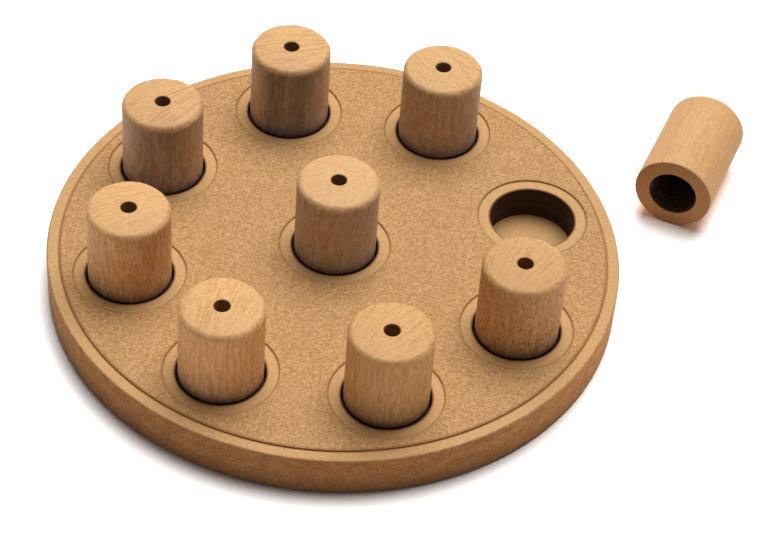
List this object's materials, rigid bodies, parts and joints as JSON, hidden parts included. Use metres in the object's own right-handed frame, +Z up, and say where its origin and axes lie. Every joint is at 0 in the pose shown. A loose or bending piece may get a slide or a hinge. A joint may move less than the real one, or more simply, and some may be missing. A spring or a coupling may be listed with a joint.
{
  "type": "dog puzzle feeder toy",
  "caption": "Round fibreboard treat puzzle for a dog: a ring of wells and a middle well, closed by lift-out hollow beech pegs with scent holes.",
  "frame": {"origin": "on the floor under the middle of the base board, at the underside of the middle rubber pad", "axes": "+Z up, along the standing pegs; +X from the middle of the base through the open well, towards the loose peg"},
  "size_m": [0.3648, 0.276, 0.065],
  "materials": {
    "fibreboard": "bare sanded fibreboard, matte",
    "beech": "bare turned beech, matte",
    "rubber": "matte"
  },
  "bodies": {
    "base": {"base_board": "fibreboard", "rubber_pad_1": "rubber", "rubber_pad_2": "rubber", "rubber_pad_3": "rubber", "rubber_pad_4": "rubber", "rubber_pad_5": "rubber"},
    "ring_peg_1_body": {"ring_peg_1": "beech"},
    "ring_peg_2_body": {"ring_peg_2": "beech"},
    "ring_peg_3_body": {"ring_peg_3": "beech"},
    "ring_peg_4_body": {"ring_peg_4": "beech"},
    "ring_peg_5_body": {"ring_peg_5": "beech"},
    "ring_peg_6_body": {"ring_peg_6": "beech"},
    "ring_peg_7_body": {"ring_peg_7": "beech"},
    "centre_peg_body": {"centre_peg": "beech"},
    "loose_peg_body": {"loose_peg": "beech"}
  },
  "joints": [
    {"name": "ring_peg_1_lift", "type": "slide", "parent": "base", "child": "ring_peg_1_body", "axis": [0, 0, 1], "range_m": [0, 0.065]},
    {"name": "ring_peg_2_lift", "type": "slide", "parent": "base", "child": "ring_peg_2_body", "axis": [0, 0, 1], "range_m": [0, 0.065]},
    {"name": "ring_peg_3_lift", "type": "slide", "parent": "base", "child": "ring_peg_3_body", "axis": [0, 0, 1], "range_m": [0, 0.065]},
    {"name": "ring_peg_4_lift", "type": "slide", "parent": "base", "child": "ring_peg_4_body", "axis": [0, 0, 1], "range_m": [0, 0.065]},
    {"name": "ring_peg_5_lift", "type": "slide", "parent": "base", "child": "ring_peg_5_body", "axis": [0, 0, 1], "range_m": [0, 0.065]},
    {"name": "ring_peg_6_lift", "type": "slide", "parent": "base", "child": "ring_peg_6_body", "axis": [0, 0, 1], "range_m": [0, 0.065]},
    {"name": "ring_peg_7_lift", "type": "slide", "parent": "base", "child": "ring_peg_7_body", "axis": [0, 0, 1], "range_m": [0, 0.065]},
    {"name": "centre_peg_lift", "type": "slide", "parent": "base", "child": "centre_peg_body", "axis": [0, 0, 1], "range_m": [0, 0.065]},
    {"name": "loose_peg_lift", "type": "slide", "parent": "base", "child": "loose_peg_body", "axis": [0, 0, 1], "range_m": [0, 0.065]}
  ]
}
